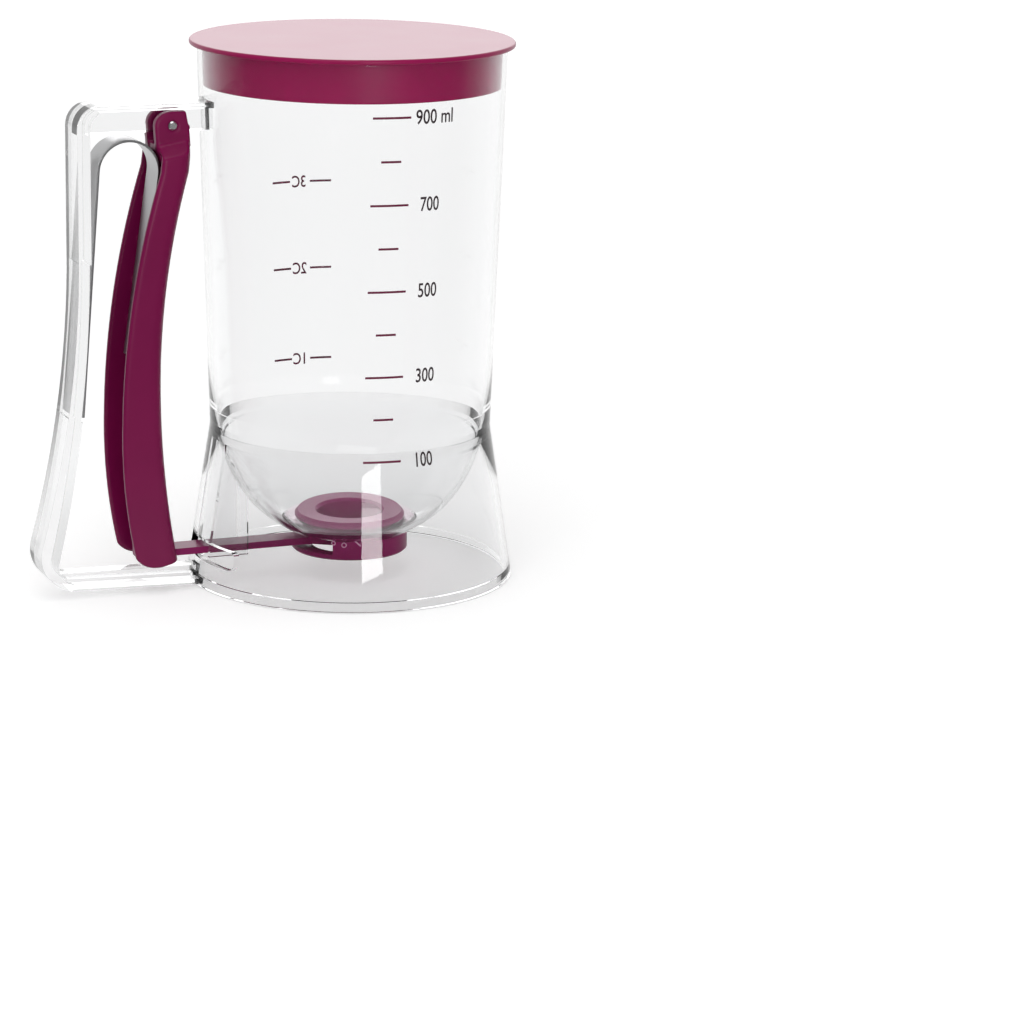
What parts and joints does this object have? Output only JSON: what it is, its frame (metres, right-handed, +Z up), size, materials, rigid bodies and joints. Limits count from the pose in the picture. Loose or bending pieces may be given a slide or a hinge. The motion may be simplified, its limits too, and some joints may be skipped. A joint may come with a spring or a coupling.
{
  "type": "batter dispenser",
  "caption": "Clear hand-held batter dispenser with a lift-off plug lid, a D handle, a sprung trigger lever and a slide valve under its round bottom.",
  "frame": {"origin": "middle of the base rim, at the height of the surface it stands on", "axes": "+Z up along the container's axis, -X towards the handle"},
  "size_m": [0.1641, 0.11, 0.18],
  "materials": {
    "clear_plastic": "clear, polished",
    "magenta_plastic": "satin gloss",
    "seal_silicone": "translucent silicone",
    "pin_steel": "turned",
    "spring_steel": "bright rolled strip"
  },
  "bodies": {
    "jug": {"container": "clear_plastic", "base_cone": "clear_plastic", "handle_frame": "clear_plastic", "valve_seat": "magenta_plastic", "seat_seal": "seal_silicone", "return_spring": "spring_steel"},
    "lid": {"lid": "magenta_plastic"},
    "lever": {"trigger_lever": "magenta_plastic", "pivot_pin": "pin_steel"},
    "slide": {"slide_valve": "magenta_plastic"},
    "ring": {"retaining_ring": "magenta_plastic"}
  },
  "joints": [
    {"name": "lever_pivot", "type": "hinge", "parent": "jug", "child": "lever", "pos_m": [-0.0636, 0, 0.1548], "axis": [0, 1, 0], "range_deg": [0, 9.5], "stiffness_Nm_per_rad": 2, "springref_deg": -8.59, "deforming": ["return_spring"]},
    {"name": "valve_slide", "type": "slide", "parent": "jug", "child": "slide", "axis": [-1, 0, 0], "range_m": [0, 0.0234]},
    {"name": "lid_lift", "type": "slide", "parent": "jug", "child": "lid", "axis": [0, 0, 1], "range_m": [0, 0.04]},
    {"name": "ring_twist", "type": "hinge", "parent": "jug", "child": "ring", "pos_m": [0, 0, 0.0113], "axis": [0, 0, 1], "range_deg": [0, 20]}
  ],
  "couplings": [
    {"joint": "valve_slide", "follows": "lever_pivot", "m_per_rad": 0.1408}
  ]
}
